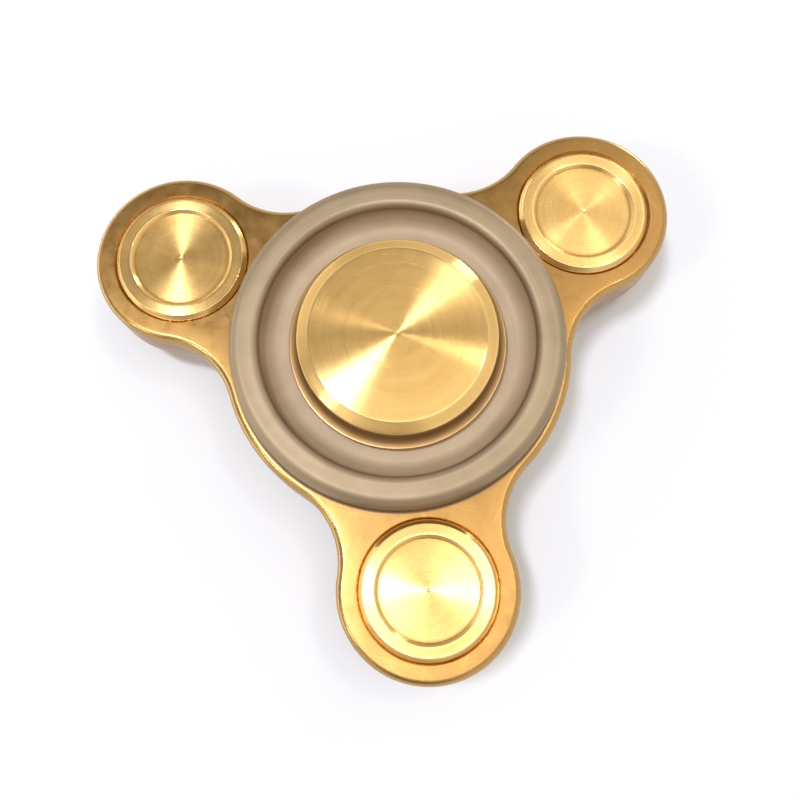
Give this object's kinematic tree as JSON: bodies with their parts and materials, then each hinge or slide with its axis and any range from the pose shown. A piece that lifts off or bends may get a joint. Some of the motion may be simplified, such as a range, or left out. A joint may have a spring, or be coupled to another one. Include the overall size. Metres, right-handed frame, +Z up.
{
  "type": "hand spinner",
  "caption": "Brass hand spinner with round weighted arms; its collared hub turns on a ball bearing between turned finger caps.",
  "frame": {"origin": "centre of the lower finger cap's resting face", "axes": "+Z up the spin axis; at rest one arm points along -Y and the others lie at 30 and 150 degrees from +X"},
  "size_m": [0.0672, 0.0608, 0.017],
  "materials": {
    "cap_brass": "turned and brushed",
    "body_brass": "polished",
    "ring_brass": "satin",
    "weight_brass": "turned",
    "stud_steel": "black oxide",
    "spacer_steel": "brushed",
    "bearing_steel": "ground",
    "cage_steel": "pressed",
    "spring_steel": "spring steel",
    "ball_steel": "mirror"
  },
  "bodies": {
    "holder": {"lower_cap": "cap_brass", "upper_cap": "cap_brass", "cap_stud": "stud_steel", "lower_spacer": "spacer_steel", "upper_spacer": "spacer_steel", "bearing_inner_race": "bearing_steel"},
    "rotor": {"spinner_body": "body_brass", "retaining_ring": "ring_brass", "weight_1": "weight_brass", "weight_2": "weight_brass", "weight_3": "weight_brass", "bearing_outer_race": "bearing_steel", "bearing_shield_upper": "spacer_steel", "bearing_shield_lower": "spacer_steel", "bearing_snap_ring_upper": "spring_steel", "bearing_snap_ring_lower": "spring_steel"},
    "cage": {"bearing_cage": "cage_steel"},
    "ball_01": {"bearing_ball_01": "ball_steel"},
    "ball_02": {"bearing_ball_02": "ball_steel"},
    "ball_03": {"bearing_ball_03": "ball_steel"},
    "ball_04": {"bearing_ball_04": "ball_steel"},
    "ball_05": {"bearing_ball_05": "ball_steel"},
    "ball_06": {"bearing_ball_06": "ball_steel"},
    "ball_07": {"bearing_ball_07": "ball_steel"},
    "ball_08": {"bearing_ball_08": "ball_steel"},
    "ball_09": {"bearing_ball_09": "ball_steel"},
    "ball_10": {"bearing_ball_10": "ball_steel"}
  },
  "joints": [
    {"name": "spinner_spin", "type": "hinge", "parent": "holder", "child": "rotor", "pos_m": [0, 0, 0.0085], "axis": [0, 0, 1], "continuous": true},
    {"name": "cage_spin", "type": "hinge", "parent": "holder", "child": "cage", "pos_m": [0, 0, 0.0085], "axis": [0, 0, 1], "continuous": true},
    {"name": "ball_01_spin", "type": "hinge", "parent": "cage", "child": "ball_01", "pos_m": [0.00476, 0, 0.0085], "axis": [0, 0, 1], "continuous": true},
    {"name": "ball_02_spin", "type": "hinge", "parent": "cage", "child": "ball_02", "pos_m": [0.00385, 0.0028, 0.0085], "axis": [0, 0, 1], "continuous": true},
    {"name": "ball_03_spin", "type": "hinge", "parent": "cage", "child": "ball_03", "pos_m": [0.00147, 0.00453, 0.0085], "axis": [0, 0, 1], "continuous": true},
    {"name": "ball_04_spin", "type": "hinge", "parent": "cage", "child": "ball_04", "pos_m": [-0.00147, 0.00453, 0.0085], "axis": [0, 0, 1], "continuous": true},
    {"name": "ball_05_spin", "type": "hinge", "parent": "cage", "child": "ball_05", "pos_m": [-0.00385, 0.0028, 0.0085], "axis": [0, 0, 1], "continuous": true},
    {"name": "ball_06_spin", "type": "hinge", "parent": "cage", "child": "ball_06", "pos_m": [-0.00476, 0, 0.0085], "axis": [0, 0, 1], "continuous": true},
    {"name": "ball_07_spin", "type": "hinge", "parent": "cage", "child": "ball_07", "pos_m": [-0.00385, -0.0028, 0.0085], "axis": [0, 0, 1], "continuous": true},
    {"name": "ball_08_spin", "type": "hinge", "parent": "cage", "child": "ball_08", "pos_m": [-0.00147, -0.00453, 0.0085], "axis": [0, 0, 1], "continuous": true},
    {"name": "ball_09_spin", "type": "hinge", "parent": "cage", "child": "ball_09", "pos_m": [0.00147, -0.00453, 0.0085], "axis": [0, 0, 1], "continuous": true},
    {"name": "ball_10_spin", "type": "hinge", "parent": "cage", "child": "ball_10", "pos_m": [0.00385, -0.0028, 0.0085], "axis": [0, 0, 1], "continuous": true}
  ],
  "couplings": [
    {"joint": "cage_spin", "follows": "spinner_spin", "ratio": 0.58333},
    {"joint": "ball_01_spin", "follows": "spinner_spin", "ratio": 2.9167},
    {"joint": "ball_02_spin", "follows": "spinner_spin", "ratio": 2.9167},
    {"joint": "ball_03_spin", "follows": "spinner_spin", "ratio": 2.9167},
    {"joint": "ball_04_spin", "follows": "spinner_spin", "ratio": 2.9167},
    {"joint": "ball_05_spin", "follows": "spinner_spin", "ratio": 2.9167},
    {"joint": "ball_06_spin", "follows": "spinner_spin", "ratio": 2.9167},
    {"joint": "ball_07_spin", "follows": "spinner_spin", "ratio": 2.9167},
    {"joint": "ball_08_spin", "follows": "spinner_spin", "ratio": 2.9167},
    {"joint": "ball_09_spin", "follows": "spinner_spin", "ratio": 2.9167},
    {"joint": "ball_10_spin", "follows": "spinner_spin", "ratio": 2.9167}
  ]
}
